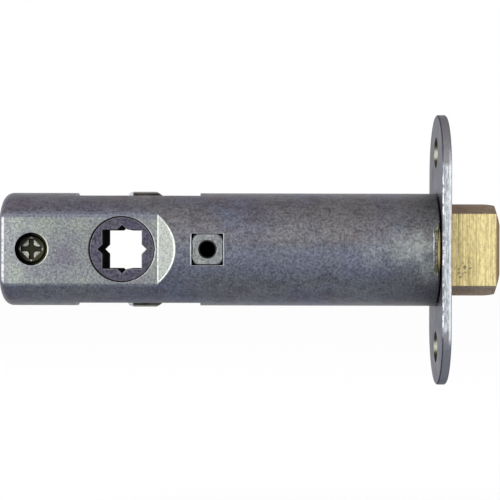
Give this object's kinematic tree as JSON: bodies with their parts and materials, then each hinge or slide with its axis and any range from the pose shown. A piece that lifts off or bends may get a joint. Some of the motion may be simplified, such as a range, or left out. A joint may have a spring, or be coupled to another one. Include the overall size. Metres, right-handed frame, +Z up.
{
  "type": "tubular door latch",
  "caption": "Tubular door latch: round cast barrel with a star-holed spindle hub, an oblong faceplate with round ends and a bevelled spring bolt.",
  "frame": {"origin": "middle of the faceplate's front face, on the bolt's axis", "axes": "+X out of the door's edge along the bolt, +Y along the spindle towards the bolt's bevelled side, +Z up the faceplate"},
  "size_m": [0.1075, 0.025, 0.059],
  "materials": {
    "plate_steel": "brushed, dull",
    "cast_zinc": "dull grey zinc casting",
    "screw_steel": "dark plated",
    "hub_metal": "dull grey",
    "strip_steel": "oiled strip",
    "bolt_brass": "brushed brass",
    "turned_steel": "turned",
    "spring_wire": "bright drawn wire"
  },
  "bodies": {
    "case": {"faceplate": "plate_steel", "case_near_half": "cast_zinc", "case_far_half": "cast_zinc", "case_screw": "screw_steel", "upper_spring_pin": "turned_steel", "lower_spring_pin": "turned_steel", "upper_return_spring": "spring_wire", "lower_return_spring": "spring_wire"},
    "hub": {"follower_hub": "hub_metal"},
    "retractor": {"retractor": "strip_steel", "spring_washer": "turned_steel", "bolt_spring": "spring_wire"},
    "bolt": {"latch_bolt": "bolt_brass", "draw_rod": "turned_steel"}
  },
  "joints": [
    {"name": "hub_turn", "type": "hinge", "parent": "case", "child": "hub", "pos_m": [-0.07, 0, 0], "axis": [0, -1, 0], "range_deg": [0, 67]},
    {"name": "retractor_slide", "type": "slide", "parent": "case", "child": "retractor", "axis": [-1, 0, 0], "range_m": [0, 0.0108], "stiffness_N_per_m": 600, "springref_m": -0.006, "deforming": ["upper_return_spring", "lower_return_spring"]},
    {"name": "bolt_push", "type": "slide", "parent": "retractor", "child": "bolt", "axis": [-1, 0, 0], "range_m": [0, 0.0108], "stiffness_N_per_m": 350, "springref_m": -0.009, "deforming": ["bolt_spring"]}
  ],
  "couplings": [
    {"joint": "hub_turn", "follows": "retractor_slide", "rad_per_m": 108.27}
  ]
}
